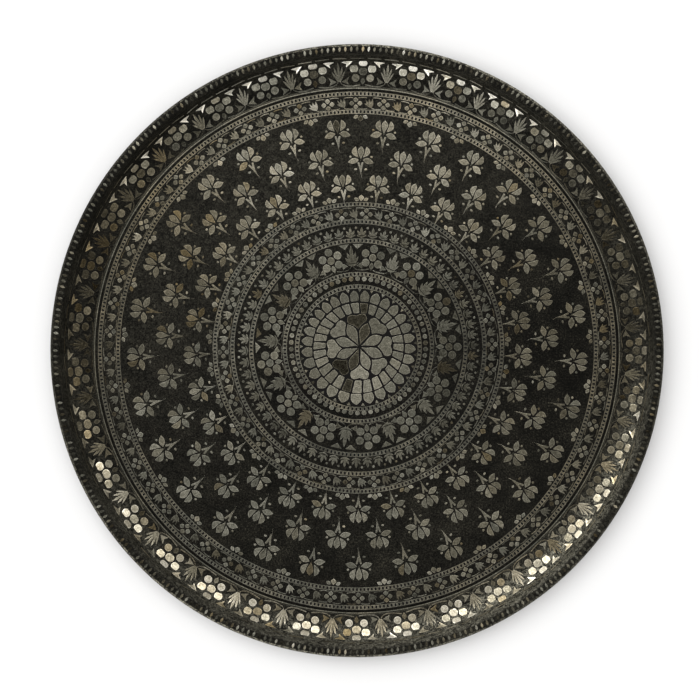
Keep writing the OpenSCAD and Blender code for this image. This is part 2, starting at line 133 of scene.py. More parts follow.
# %% [markdown]
# The ground is a cast zinc and copper alloy that a paste of earth has turned black. The blackening is a thin
# matt skin, dark and a little olive, with the grain of the scraped casting. On the wall and the lip, streaks of
# bare grey metal show. Part of this is rubbing through by hands and part is painted sheen where those slopes
# catch the light. An attribute on the mesh says how much. The real grain is finer; it is drawn at three
# quarters of a millimetre so that it shows in the picture.

# %% Blackened alloy
GRAIN_MM = 0.75
CLOUD_MM = 14.0
STREAK_MM = 1.6
BARE_METAL = "#888577"


def blackened_alloy():
    material, tree, shader = start_material("blackened_zinc_alloy")
    at = add(tree, "ShaderNodeTexCoord").outputs["Object"]
    grain = speckled(tree, at, GRAIN_MM, 5.0, 0.7)
    cloud = speckled(tree, at, CLOUD_MM, 3.0, 0.6)
    mixed = maths(tree, "MULTIPLY_ADD", {1: 0.3}, {0: cloud, 2: grain})
    skin = add(tree, "ShaderNodeValToRGB", links={0: mixed})
    ramp_stops(skin, (0.55, "#030302"), (0.69, "#100f0c"), (0.81, "#2b2922"), (0.96, "#4e4b40"))
    streak = speckled(tree, at, STREAK_MM, 6.0, 0.75, 1.5)
    # Bare metal is mixed in where the mesh attribute says: real wear, plus painted sheen and highlight on the
    # slopes that catch the light.
    bare_and_sheen = add(tree, "ShaderNodeAttribute", {"attribute_name": "wear_and_sheen"})
    share = add(tree, "ShaderNodeMapRange", {"From Min": 0.46, "From Max": 0.66}, {0: streak})
    wear_and_sheen = maths(tree, "MULTIPLY", {"use_clamp": True}, {0: share.outputs[0], 1: bare_and_sheen.outputs["Fac"]})
    colour = add(tree, "ShaderNodeMix", {"data_type": "RGBA", 7: srgb(BARE_METAL)}, {0: wear_and_sheen, 6: skin.outputs[0]})
    rough = add(tree, "ShaderNodeMapRange", {"To Min": 0.42, "To Max": 0.62}, {0: mixed})
    bump = add(tree, "ShaderNodeBump", {"Strength": 0.6, "Distance": 0.08 * MM}, {"Height": grain})
    link(shader, {"Base Color": colour.outputs[2], "Metallic": wear_and_sheen, "Roughness": rough.outputs[0],
                  "Normal": bump.outputs[0]})
    shader.inputs["Specular IOR Level"].default_value = 0.04
    return material


black = blackened_alloy()
print("material:", black.name)

# %% [markdown]
# The silver is sheet that was cut by hand, hammered into its bed and rubbed flush. It is old: each piece has
# tarnished in its own way, some to a warm brown, a few almost to black. Attributes on the mesh carry that from
# piece to piece: tone and warmth for the whole piece, and a third for its brighter rim. That rim is partly wear
# and partly a painted highlight along the edge. The tone also holds painted light and shade by clock position.
# A mottle of a millimetre or two and the dints of the hammer break it up within one piece. The seam round a piece
# is filled with black paste.

# %% Tarnished silver
MOTTLE_MM = 1.5
HAMMER_MM = 0.6
RIM_GAIN = 0.12
PASTE = "#070605"
PASTE_FROM = 0.08


def tarnished_silver(name, roughness):
    material, tree, shader = start_material(name)
    at = add(tree, "ShaderNodeTexCoord").outputs["Object"]
    tone, warmth, rim_wear_and_sheen, seam = (
        add(tree, "ShaderNodeAttribute", {"attribute_name": layer}).outputs["Fac"]
        for layer in ("tone", "warmth", "rim_wear_and_sheen", "seam"))
    mottle = speckled(tree, at, MOTTLE_MM, 4.0, 0.65)
    hammer = speckled(tree, at, HAMMER_MM, 3.0, 0.6)
    spread = maths(tree, "MULTIPLY_ADD", {1: 0.5, 2: -0.6}, {0: mottle})
    dints = maths(tree, "MULTIPLY_ADD", {1: 0.7}, {0: hammer, 2: spread})
    # The margin is painted brighter: partly wear, partly a painted highlight along the edge.
    rim = maths(tree, "MULTIPLY_ADD", {1: RIM_GAIN}, {0: rim_wear_and_sheen, 2: dints})
    level = maths(tree, "ADD", {"use_clamp": True}, {0: tone, 1: rim})
    cool = add(tree, "ShaderNodeValToRGB", links={0: level})
    ramp_stops(cool, (0.0, "#14130f"), (0.25, "#3e3d36"), (0.5, "#6b6a60"), (0.75, "#a8a598"), (1.0, "#f4f0e6"))
    warm = add(tree, "ShaderNodeValToRGB", links={0: level})
    ramp_stops(warm, (0.0, "#16120b"), (0.25, "#423a29"), (0.5, "#706348"), (0.75, "#ac9a75"), (1.0, "#f2e4c2"))
    colour = add(tree, "ShaderNodeMix", {"data_type": "RGBA"}, {0: warmth, 6: cool.outputs[0], 7: warm.outputs[0]})
    paste = maths(tree, "GREATER_THAN", {1: PASTE_FROM}, {0: seam})
    filled = add(tree, "ShaderNodeMix", {"data_type": "RGBA", 7: srgb(PASTE)}, {0: paste, 6: colour.outputs[2]})
    metal = maths(tree, "SUBTRACT", {0: 1.0}, {1: paste})
    rough = add(tree, "ShaderNodeMapRange", {"To Min": roughness + 0.12, "To Max": roughness - 0.06}, {0: level})
    bump = add(tree, "ShaderNodeBump", {"Strength": 0.3, "Distance": 0.05 * MM}, {"Height": hammer})
    link(shader, {"Base Color": filled.outputs[2], "Metallic": metal, "Roughness": rough.outputs[0],
                  "Normal": bump.outputs[0]})
    shader.inputs["Specular IOR Level"].default_value = 0.1
    return material


silver = {
    "silver_sheet": tarnished_silver("tarnished_sheet_silver", 0.38),
    "silver_strip": tarnished_silver("tarnished_strip_silver", 0.42),
    "silver_wire": tarnished_silver("tarnished_wire_silver", 0.42),
}
print("materials:", [m.name for m in silver.values()])

# %% [markdown]
# The tray lies on a plain white card in a white room. The walls of the room are brighter than its ceiling, which
# the flat silver of the floor mirrors, so that silver stays a quiet grey. One function starts every primitive. It
# first deselects everything, because an operator acts on all that is selected.

# %% Card and room
CARD_W = 6.0
CARD_DOWN = 0.2


def start(name, add_shape, **settings):
    bpy.ops.object.select_all(action="DESELECT")
    add_shape(**settings)
    piece = bpy.context.object
    piece.name = name
    return piece


table = start("white_table", bpy.ops.mesh.primitive_plane_add, size=CARD_W, location=(0, 0, -CARD_DOWN * MM))
white, tree, shader = start_material("white_card")
shader.inputs["Base Color"].default_value = srgb("#d8d8d9")
shader.inputs["Roughness"].default_value = 0.9
table.data.materials.append(white)

room = bpy.data.worlds.new("white_room")
room.use_nodes = True
tree = room.node_tree
background = tree.nodes["Background"]
background.inputs["Color"].default_value = srgb("#fffefb")
towards = add(tree, "ShaderNodeTexCoord").outputs["Generated"]
height = add(tree, "ShaderNodeSeparateXYZ", links={0: towards}).outputs["Z"]
glow = add(tree, "ShaderNodeMapRange", {"From Min": 0.1, "From Max": 0.9, "To Min": 1.3, "To Max": 0.85},
           {0: height})
link(background, {"Strength": glow.outputs[0]})
bpy.context.scene.world = room
bpy.context.scene.view_settings.view_transform = "Standard"
print("card", CARD_W, "m wide in a white room")

# %% [markdown]
# A wide soft box hangs beyond the top edge, a low one stands at the upper left and a weaker one beyond the bottom
# edge. The sloping wall of the tray mirrors each of them on the side away from it. In the photo the card is white
# but for a short shadow close to the rim all round, a little deeper at the lower right. So the card has a panel
# of its own, overhead and slightly to the upper left, and the three boxes light only the tray.

# %% Soft boxes
def lit_set(name, state):
    """The objects that a light falls on: the card alone, or all but the card."""
    group = bpy.data.collections.new(name)
    group.objects.link(table)
    group.collection_objects[0].light_linking.link_state = state
    return group


def soft_box(name, clock, up, far, width, height, power, lit):
    """A soft box at a clock position round the tray, this many degrees up and metres away."""
    data = bpy.data.lights.new(name, "AREA")
    data.shape = "RECTANGLE"
    data.size, data.size_y, data.energy = width, height, power
    light = bpy.data.objects.new(name, data)
    turn, rise = math.radians(clock * 30), math.radians(up)
    place = far * Vector((math.sin(turn) * math.cos(rise), math.cos(turn) * math.cos(rise), math.sin(rise)))
    light.location = place
    light.rotation_euler = (-place).to_track_quat("-Z", "Y").to_euler()
    light.light_linking.receiver_collection = lit
    bpy.context.scene.collection.objects.link(light)
    print(name, "at", clock, "o'clock,", up, "degrees up")


on_tray = lit_set("all_but_the_card", "EXCLUDE")
on_card = lit_set("the_card_alone", "INCLUDE")
soft_box("left_box", 10.4, 21, 1.2, 0.9, 0.5, 10.5, on_tray)
soft_box("far_box", 12.3, 37, 1.2, 1.9, 0.55, 11.5, on_tray)
soft_box("near_box", 6.5, 12, 1.2, 0.8, 0.35, 3.0, on_tray)
soft_box("card_panel", 10.0, 76, 1.5, 1.4, 1.4, 19.0, on_card)

# %% [markdown]
# The casting is turned about the upright axis: a flat floor, a cove, a leaning wall and a thick round lip with a
# flat land on top. Its section is worked out first, like a founder's template for sweeping the mould: a chain of
# points from the axis on the underside, round the lip, to the axis on the floor.

# %% Section of the casting
FLOOR_Z = 3.0
TRAY_R = 150.0
TRAY_H = 16.5
COVE_R = 10.0
LEAN = math.radians(65)
LIP_R = 2.6
LIP_OVER = 0.7
LIP_SINK = 0.02
LIP_C = TRAY_R - LIP_R
COVE_Z = FLOOR_Z + COVE_R
LIP_REACH = COVE_R - LIP_SINK + LIP_R - LIP_OVER
FLOOR_R = LIP_C - (LIP_REACH + (LIP_Z - COVE_Z) * math.cos(LEAN)) / math.sin(LEAN)
GROOVE_R = 128.95
GROOVE_HALF = 0.3
GROOVE_D = 0.45
ACROSS = (math.sin(LEAN), -math.cos(LEAN))
ALONG = (math.cos(LEAN), math.sin(LEAN))
LEAN_L = (LIP_C - FLOOR_R) * ALONG[0] + (LIP_Z - COVE_Z) * ALONG[1]
FLAT_RINGS = (40, 90)
BEND_STEPS = 12
LIP_STEPS = 28


def on_lean(across):
    """Where a line along the upper wall, this far from the middle of the cove, meets the round lip."""
    along = LEAN_L - math.sqrt(LIP_R ** 2 - (across - LIP_REACH) ** 2)
    return (FLOOR_R + across * ACROSS[0] + along * ALONG[0], COVE_Z + across * ACROSS[1] + along * ALONG[1])


def section():
    wall = COVE_R + FLOOR_Z
    bend = [LEAN * i / BEND_STEPS for i in range(BEND_STEPS + 1)]
    points = [(0, 0)] + [(r, 0) for r in FLAT_RINGS]
    points += [(FLOOR_R + wall * math.sin(a), COVE_Z - wall * math.cos(a)) for a in bend]
    first, last = on_lean(wall), on_lean(COVE_R)
    a0 = math.atan2(first[1] - LIP_Z, first[0] - LIP_C)
    a1 = math.atan2(last[1] - LIP_Z, last[0] - LIP_C) % (2 * math.pi)
    turns = [a0 + (a1 - a0) * i / LIP_STEPS for i in range(LIP_STEPS + 1)]
    points += [(LIP_C + LIP_R * math.cos(a), min(LIP_Z + LIP_R * math.sin(a), TRAY_H)) for a in turns]
    points += [(FLOOR_R + COVE_R * math.sin(a), COVE_Z - COVE_R * math.cos(a)) for a in bend[::-1]]
    points += [(GROOVE_R + GROOVE_HALF, FLOOR_Z), (GROOVE_R + GROOVE_HALF, FLOOR_Z - GROOVE_D),
               (GROOVE_R - GROOVE_HALF, FLOOR_Z - GROOVE_D), (GROOVE_R - GROOVE_HALF, FLOOR_Z)]
    return points + [(r, FLOOR_Z) for r in FLAT_RINGS[::-1]] + [(0, FLOOR_Z)]


profile = section()
print("section of", len(profile), "points, floor out to", round(FLOOR_R, 2), "mm")

# %% [markdown]
# A circle without a face gives a closed chain of edges. Its points are moved onto the section, the edge that
# would lie on the axis is deleted, and Spin sweeps the rest. The start and the end of the sweep, and the points
# on the axis, are then merged, and the normals are turned outwards.

# %% Spin the casting
STEPS = 256
SAME_PLACE = 1e-6


def only(*objects):
    bpy.ops.object.select_all(action="DESELECT")
    for o in objects:
        o.select_set(True)
    bpy.context.view_layer.objects.active = objects[-1]


def edit(piece):
    only(piece)
    bpy.ops.object.mode_set(mode="EDIT")
    bpy.ops.mesh.select_all(action="SELECT")


def done():
    bpy.ops.object.mode_set(mode="OBJECT")


def write_points(mesh, points):
    mesh.vertices.foreach_set("co", points.ravel())
    mesh.update()


def chain(name, points, fill="NOTHING"):
    """A closed chain of edges through these points in millimetres."""
    piece = start(name, bpy.ops.mesh.primitive_circle_add, vertices=len(points), radius=MM, fill_type=fill)
    write_points(piece.data, np.array(points) * MM)
    return piece


def sweep_round(steps):
    """Sweep the selected edges once round the axis and close the seam."""
    bpy.ops.mesh.spin(steps=steps, angle=2 * math.pi, center=(0, 0, 0), axis=(0, 0, 1))
    bpy.ops.mesh.select_all(action="SELECT")
    bpy.ops.mesh.remove_doubles(threshold=SAME_PLACE)
    bpy.ops.mesh.normals_make_consistent(inside=False)


casting = chain("casting", [(r, 0, z) for r, z in profile])
edit(casting)
bpy.ops.mesh.select_mode(type="EDGE")
bpy.ops.mesh.select_all(action="DESELECT")
done()
for edge in casting.data.edges:
    edge.select = all(casting.data.vertices[i].co.x < SAME_PLACE for i in edge.vertices)
bpy.ops.object.mode_set(mode="EDIT")
bpy.ops.mesh.delete(type="EDGE")
bpy.ops.mesh.select_mode(type="VERT")
bpy.ops.mesh.select_all(action="SELECT")
sweep_round(STEPS)
done()
bpy.ops.object.shade_smooth_by_angle(angle=math.radians(35))
print("casting:", len(casting.data.polygons), "faces")

# %% [markdown]
# Hands have rubbed the black skin through on the lip and the wall, and here and there on the field. The same
# bare metal also paints sheen and highlights where those places catch the light. How much changes round the tray,
# as a list of twelve numbers from the top of the picture clockwise says for each of the three. The sum is painted
# on the mesh as an attribute that the black material reads.

# %% Rubbed places and painted sheen
# Wear and painted sheen by clock position. The wall peaks at 4 to 6 o'clock and the lip at 12 to 1 and 6 to 7
# o'clock, where these slopes mirror the soft boxes.
FLOOR_WEAR_AND_SHEEN = [0.11, 0.09, 0.03, 0.0, 0.02, 0.05, 0.05, 0.03, 0.05, 0.08, 0.11, 0.12]
WALL_WEAR_AND_SHEEN = [0.2, 0.2, 0.12, 0.15, 0.95, 1.0, 0.6, 0.4, 0.2, 0.1, 0.05, 0.05]
LIP_WEAR_AND_SHEEN = [2.0, 2.2, 1.1, 0.5, 0.45, 1.0, 1.9, 2.6, 1.3, 0.25, 0.2, 0.65]
WALL_TOP_R = 148.8


def read_points(mesh):
    points = np.empty(len(mesh.vertices) * 3)
    mesh.vertices.foreach_get("co", points)
    return points.reshape(-1, 3)


def paint(mesh, name, values):
    layer = mesh.attributes.get(name) or mesh.attributes.new(name, "FLOAT", "POINT")
    layer.data.foreach_set("value", np.ascontiguousarray(values, dtype=np.float32))


def by_hour(places, hours):
    """The value of a list of twelve, from 12 o'clock on, at each place."""
    clock = np.degrees(np.arctan2(places[:, 0], places[:, 1])) % 360 / 30
    return np.interp(clock, range(13), list(hours) + [hours[0]])


spots = read_points(casting.data) / MM
reach = np.hypot(spots[:, 0], spots[:, 1])
on_floor = np.interp(reach, [45, 90, 129, 131], [0, 1, 1, 0])
on_wall = np.interp(reach, [131, 134, 138, 145, 146.2], [0, 0.4, 1, 1, 0.1]) * (reach < WALL_TOP_R)
on_lip = np.interp(reach, [148.6, 149.0], [0, 0.8])
wear_and_sheen = sum(share * by_hour(spots, hours) for share, hours in (
    (on_floor, FLOOR_WEAR_AND_SHEEN), (on_wall, WALL_WEAR_AND_SHEEN), (on_lip, LIP_WEAR_AND_SHEEN)))
paint(casting.data, "wear_and_sheen", wear_and_sheen)
casting.data.materials.append(black)
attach(casting, "root")
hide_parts("tray_body")
print("most rubbed:", round(wear_and_sheen.max(), 2))

# %% [markdown]
# Every silver piece starts as an outline in millimetres, with x to the right and y away from the middle of the
# tray. A few formulas draw most of them: a blade with two points, a disc, a leaf with several tips, and a bent
# wire. The rest are drawn point by point.

# %% Outlines
SHOULDER = 0.74


def blade(length, width, belly=1.0, side=5, bend=0.0):
    """A shape with two points from the origin along y; belly over 1 moves the widest part outwards."""
    right, left = [], []
    for i in range(1, side + 1):
        t = i / (side + 1)
        half = width / 2 * math.sin(math.pi * t ** belly)
        middle = bend * t * t
        right.append((middle + half, length * t))
        left.append((middle - half, length * t))
    return [(0, 0)] + right + [(bend, length)] + left[::-1]


def disc(width, height=None, corners=12):
    turns = [2 * math.pi * (i + 0.5) / corners for i in range(corners)]
    return [(width / 2 * math.cos(a), (height or width) / 2 * math.sin(a)) for a in turns]


def clockwise(angle, r):
    """The point at this many degrees clockwise from y."""
    return (r * math.sin(math.radians(angle)), r * math.cos(math.radians(angle)))


def leaf(tips, notch=0.55, spread=9.0, foot=0.3):
    """Tips are (degrees from y, length), from the right round to the left."""
    points = [(-foot, 0), (foot, 0)]
    for i, (angle, length) in enumerate(tips):
        points += [clockwise(angle + spread, length * SHOULDER), clockwise(angle, length),
                   clockwise(angle - spread, length * SHOULDER)]
        if i + 1 < len(tips):
            after = tips[i + 1]
            points.append(clockwise((angle + after[0]) / 2, notch * min(length, after[1])))
    return points


def wire(r, half_angle, width=0.42, steps=6):
    """A bent wire about a middle on +y, with its lowest point on the origin."""
    turns = [math.radians(half_angle) * (2 * i / steps - 1) for i in range(steps + 1)]
    outside = [((r + width / 2) * math.sin(a), r - (r + width / 2) * math.cos(a)) for a in turns]
    inside = [((r - width / 2) * math.sin(a), r - (r - width / 2) * math.cos(a)) for a in turns]
    return outside + inside[::-1]


def set_at(outline, x=0.0, y=0.0, turn=0.0, size=1.0):
    """Turned clockwise in degrees, then moved."""
    c, s = math.cos(math.radians(-turn)), math.sin(math.radians(-turn))
    return [(x + size * (c * u - s * v), y + size * (s * u + c * v)) for u, v in outline]


def both(outline):
    """The outline and its mirror image."""
    return [outline, [(-u, v) for u, v in outline[::-1]]]


def mirror_chain(right):
    """Close an outline whose right half is given from the bottom of the axis to its top."""
    return right + [(-x, y) for x, y in right[-2:0:-1]]


print("a petal outline has", len(blade(7, 3)), "points")

# %% [markdown]
# One piece is cut, and later copied. The bed chiselled for it is a little wider than the piece, so its outline is
# grown, made into a face and extruded. The top is drawn in again to the outline, which leaves a sloping seam of
# black paste all round. Two insets follow: one for the rim that was rubbed down with the ground, one for the
# margin that is painted brighter than the middle, partly as wear and partly as a painted highlight along the edge.
# A piece for the curved wall is also extruded downwards, so that its underside stays inside the wall when it is
# bent.

# %% Cutting the sheet
DEEP = 0.25
RISE = 0.05
RUB = 0.06
MARGIN = 0.3
SEAM_W = 0.22
SEAM_UP = 0.025
BED_D = 0.012


def grow(outline, by):
    """The outline moved outwards all round."""
    moved = []
    for before, here, after in zip(outline[-1:] + outline[:-1], outline, outline[1:] + outline[:1]):
        a = Vector((here[1] - before[1], before[0] - here[0])).normalized()
        b = Vector((after[1] - here[1], here[0] - after[0])).normalized()
        out = (a + b).normalized()
        moved.append(Vector(here) + out * by / max(out.dot(b), 0.5))
    return moved


def extrude(up):
    bpy.ops.mesh.extrude_region_move(TRANSFORM_OT_translate={"value": (0, 0, up * MM)})


def normals_out(piece):
    edit(piece)
    bpy.ops.mesh.normals_make_consistent(inside=False)
    done()


def cut(outline, margin=MARGIN, seam=SEAM_W, deep=0.0):
    area = sum(a[0] * b[1] - b[0] * a[1] for a, b in zip(outline, outline[1:] + outline[:1]))
    order = outline if area > 0 else outline[::-1]
    bed = np.array([(x, y, FLOOR_Z - BED_D) for x, y in grow(order, seam)])
    sheet = chain("sheet", bed, "NGON")
    edit(sheet)
    extrude(BED_D + SEAM_UP)
    done()
    points = read_points(sheet.data)
    top = points[:, 2] > FLOOR_Z * MM
    below = np.abs(points[top, None, :2] - bed[None, :, :2] * MM).sum(axis=2).argmin(axis=1)
    points[top, :2] = np.array(order)[below] * MM
    write_points(sheet.data, points)
    paint(sheet.data, "seam", 1.0 - top)
    bpy.ops.object.mode_set(mode="EDIT")
    bpy.ops.mesh.inset(thickness=RUB * MM, depth=(RISE - SEAM_UP) * MM, use_even_offset=False)
    if margin:
        bpy.ops.mesh.inset(thickness=margin * MM, use_even_offset=False)
    done()
    inner = {i for p in sheet.data.polygons if p.select for i in p.vertices}
    # The margin ring is marked 1, to be painted brighter as wear and as a painted highlight along the edge.
    paint(sheet.data, "rim_wear_and_sheen", [0.0 if i in inner else 1.0 for i in range(len(sheet.data.vertices))])
    if deep:
        under = [v.co.z < FLOOR_Z * MM for v in sheet.data.vertices]
        sheet.data.vertices.foreach_set("select", under)
        for part in list(sheet.data.edges) + list(sheet.data.polygons):
            part.select = all(under[i] for i in part.vertices)
        bpy.ops.object.mode_set(mode="EDIT")
        extrude(-deep)
        done()
    normals_out(sheet)
    return sheet


print("silver stands", RISE, "mm proud, in a seam", SEAM_W, "mm wide")

# %% [markdown]
# Spin with its Duplicate option sets the copies round the axis. On the tray they were stepped off by eye, so the
# copies of a ring drift a little from an even spacing, and some rings have a middle of their own.

# %% Setting the copies
def copy_round(count):
    bpy.ops.mesh.spin(steps=count - 1, dupli=True, angle=2 * math.pi * (count - 1) / count,
                      center=(0, 0, 0), axis=(0, 0, 1))


def ring(sheets, name, count, first, middle=(0.0, 0.0), drift=(0.0, 0.0)):
    """Join the cut sheets and set copies round the middle, clockwise from the first angle. The drift is in
    degrees: so much of the cosine and the sine of the angle, then of twice the angle."""
    only(*sheets)
    if len(sheets) > 1:
        bpy.ops.object.join()
    group = bpy.context.object
    group.name = name
    group.data.name = name
    group.data.transform(Matrix.Rotation(math.radians(-first), 4, "Z"))
    edit(group)
    copy_round(count)
    done()
    points = read_points(group.data)
    at = np.arctan2(points[:, 0], points[:, 1])
    waves = (np.cos(at), np.sin(at), np.cos(2 * at), np.sin(2 * at))
    off = -np.radians(sum(d * w for d, w in zip(drift, waves)))
    x = points[:, 0] * np.cos(off) - points[:, 1] * np.sin(off) + middle[0] * MM
    y = points[:, 0] * np.sin(off) + points[:, 1] * np.cos(off) + middle[1] * MM
    write_points(group.data, np.stack([x, y, points[:, 2]], axis=1))
    return group


print("eight copies stand", 360 / 8, "degrees apart")

# %% [markdown]
# Hand work is never quite even. Each cut piece is one island of the mesh, so the islands are found first. Every
# one is then turned, sized and tipped by a hair, gets a tone and a warmth of its own, and its outline wavers as
# a hand-held saw does. Its tone also gets painted light and shade by its clock position round the tray. A few are
# browned, and those at the given dark spots are nearly black with a brighter rim. All of it comes from fixed seeds,
# so the tray is the same each time; Blender's vector noise is given one too, because it would start from the clock.

# %% Ageing the silver, with painted light and shade
WAVER_MM = 2.6
WAVER = 0.10
TIP = 0.004
TURN_DEG = 1.6
SIZE_SPREAD = 0.015
WARM_SPREAD = 1.5
BROWN_DARKER = 0.09
BROWN_WARMER = 0.45
SPOT_WARMTH = 0.3
SPOT_RIM = 2.5
DARKEST = 0.05
FIRST_SEED = 11
# Painted light and shade for the field by clock position: lighter towards the top of the picture, darker round 3
# o'clock.
FIELD_SHADING = [0.20, 0.21, 0.05, -0.01, 0.05, 0.10, 0.13, 0.09, 0.12, 0.02, 0.08, 0.23]
FIELD_WARMTH = [0.25, 0.2, 0.3, 0.25, 0.25, 0.2, 0.05, 0.0, 0.05, 0.2, 0.45, 0.2]
# The same painted light and shade for the bands.
BAND_SHADING = [0.12, 0.09, -0.02, -0.04, 0.02, 0.09, 0.08, 0.07, 0.04, 0.13, 0.11, 0.12]
BAND_WARMTH = [0.05] * 12
pieces_made = {}
noise.seed_set(FIRST_SEED)


def islands(mesh):
    """For each point, the number of the island it belongs to."""
    ends = np.empty(len(mesh.edges) * 2, dtype=np.int32)
    mesh.edges.foreach_get("vertices", ends)
    a, b = ends[0::2], ends[1::2]
    label = np.arange(len(mesh.vertices))
    while True:
        low = np.minimum(label[a], label[b])
        new = label.copy()
        np.minimum.at(new, a, low)
        np.minimum.at(new, b, low)
        new = new[new]
        if (new == label).all():
            return np.unique(label, return_inverse=True)[1]
        label = new


def middles(points, ids):
    counts = np.bincount(ids)
    return np.stack([np.bincount(ids, points[:, k]) / counts for k in range(3)], axis=1)


def read_layer(mesh, name):
    values = np.empty(len(mesh.vertices))
    mesh.attributes[name].data.foreach_get("value", values)
    return values


def age_and_shade(group, tone, spread, warmth=0.0, brown=0.08, black_spots=(), tones=BAND_SHADING, warmths=BAND_WARMTH):
    mesh = group.data
    points = read_points(mesh)
    ids = islands(mesh)
    middle = middles(points, ids)
    total = len(middle)
    draw = np.random.default_rng(len(pieces_made) + FIRST_SEED)
    # The hour table adds painted light and shade to the tone.
    level = tone + spread * draw.normal(size=total).clip(-2.2, 2.2) + by_hour(middle, tones)
    warm = warmth + WARM_SPREAD * spread * draw.normal(size=total) + by_hour(middle, warmths)
    browned = draw.random(total) < brown
    level[browned] -= BROWN_DARKER
    warm[browned] += BROWN_WARMER
    rim_wear_and_sheen = read_layer(mesh, "rim_wear_and_sheen")
    for angle, r, dark in black_spots:
        spot = np.array(clockwise(angle, r)) * MM
        nearest = np.hypot(middle[:, 0] - spot[0], middle[:, 1] - spot[1]).argmin()
        level[nearest] = dark
        warm[nearest] = SPOT_WARMTH
        rim_wear_and_sheen[ids == nearest] *= SPOT_RIM
    turn = np.radians(draw.normal(0, TURN_DEG, total))
    size = 1 + draw.normal(0, SIZE_SPREAD, total)
    tip = draw.normal(0, TIP, (total, 2))
    out = points - middle[ids]
    c, s = np.cos(turn)[ids] * size[ids], np.sin(turn)[ids] * size[ids]
    x = c * out[:, 0] - s * out[:, 1]
    y = s * out[:, 0] + c * out[:, 1]
    z = out[:, 2] + x * tip[ids, 0] + y * tip[ids, 1]
    points = middle[ids] + np.stack([x, y, z], axis=1)
    for p in points:
        shift = noise.noise_vector(Vector(p) * per_metre(WAVER_MM))
        p[0] += shift.x * WAVER * MM
        p[1] += shift.y * WAVER * MM
    write_points(mesh, points)
    paint(mesh, "rim_wear_and_sheen", rim_wear_and_sheen)
    paint(mesh, "tone", level.clip(DARKEST, 1.0)[ids])
    paint(mesh, "warmth", warm.clip(0, 1)[ids])


print("outlines waver by", WAVER, "mm")

# %% [markdown]
# A long strip or wire has no islands to set apart, so its tone drifts along it instead. Every piece is finished
# in the same way: smooth shading with crisp edges, its silver, the body it rides on and the part it stands for.
# Most rows of the inlay need all the steps in one go, so one function cuts, sets, ages and finishes a row.

# %% Finishing a piece
DRIFT_MM = 14
SPECKLE_MM = 2.2
DRIFT_TONE = 0.12
DRIFT_WARMTH = 0.3
LONG_WARMTH = 0.05


def weather_and_shade(group, tone, tones=BAND_SHADING, warmths=BAND_WARMTH, speckle=0.10):
    points = read_points(group.data)
    slow = np.array([noise.noise(Vector(p) * per_metre(DRIFT_MM)) for p in points])
    fine = np.array([noise.noise(Vector(p) * per_metre(SPECKLE_MM)) for p in points])
    # The hour table adds painted light and shade to the tone.
    level = tone + by_hour(points, tones) + DRIFT_TONE * slow + speckle * fine
    paint(group.data, "tone", level.clip(DARKEST, 1))
    paint(group.data, "warmth", (LONG_WARMTH + by_hour(points, warmths) + DRIFT_WARMTH * slow).clip(0, 1))


def finish_piece(group, node, slot="silver_sheet"):
    only(group)
    bpy.ops.object.shade_smooth_by_angle(angle=math.radians(30))
    group.data.materials.clear()
    group.data.materials.append(silver[slot])
    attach(group, "root")
    if node:
        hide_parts(node)
    pieces_made[group.name] = len(group.data.polygons)
    print(group.name, pieces_made[group.name], "faces")


def lay(outlines, node, count, first, tone, spread, middle=(0.0, 0.0), drift=(0.0, 0.0), margin=MARGIN,
        slot="silver_sheet", **wear_and_shading):
    group = ring([cut(o, margin) for o in outlines], f"{node}_cut", count, first, middle, drift)
    age_and_shade(group, tone, spread, **wear_and_shading)
    finish_piece(group, node, slot)


print("slots:", list(silver))

# %% [markdown]
# The heart of the medallion is laid like a mosaic with black joints: eight petals, a heart-shaped lobe between
# every two, a ring of staves and a ring of tongues, all in one round bed of black paste. The medallion was set
# by hand a little off the axis, so its rings have middles of their own. The feet of the staves keep to the lobes.

# %% Heart of the medallion
HEART = (1.25, 1.9)
STAVE_MIDDLE = (0.75, 1.3)
TONGUE_MIDDLE = (0.75, 1.5)
PETALS = 8
STAVES = 29
JOINT = 1.0
HEART_DRIFT = (-2.4, 1.9)
STAVE_DRIFT = (-0.4, -4.35, 0.27, 1.96)
TONGUE_DRIFT = (-0.4, -5.8, -1.3, 1.4)
PETAL_FIRST = 19.8
LOBE_FIRST = -2.7
STAVE_FIRST = -4.9
TONGUE_FIRST = -3.2
STAVE_FOOT_R = 19
HEART_BED_R = 28.8
HEART_BED_T = 0.1
HEART_BED_UP = 0.005
# Painted light and shade round the heart by clock position, lighter at 5 to 7 o'clock.
HEART_SHADING = [0.00, 0.02, 0.02, 0.02, 0.05, 0.10, 0.13, 0.08, 0.04, 0.06, 0.04, 0.04]
HEART_WEAR_AND_SHADING = {"warmth": 0.05, "brown": 0.0, "tones": HEART_SHADING}


def share_half(r):
    """Half the width of one of the staves at this distance from the middle."""
    return r * math.tan(math.pi / STAVES) - JOINT / 2


petal = set_at(blade(11.25, 4.8, belly=1.45, side=9), 0, 1.0)
lobe = mirror_chain([(0, 8.9), (0.35, 9.35), (1.5, 10.55), (2.9, 11.5), (4.15, 12.2), (4.65, 13.0), (4.6, 14.3),
                     (4.0, 15.45), (2.8, 15.98), (1.4, 15.8), (0, 15.3)])
foot, head = share_half(16.8), share_half(22.3)
stave = mirror_chain([(0, 16.8), (foot - 0.25, 16.8), (foot, 17.1), (head, 21.9), (head - 0.25, 22.15),
                      (0, 22.2)])
tongue = mirror_chain([(0, 23.0), (1.88, 23.05), (2.07, 23.4), (2.24, 24.6), (2.2, 25.8), (1.75, 26.8),
                       (0.9, 27.7), (0, 28.3)])
spandrel = [(-0.75, 28.85), (0.75, 28.85), (0, 27.4)]

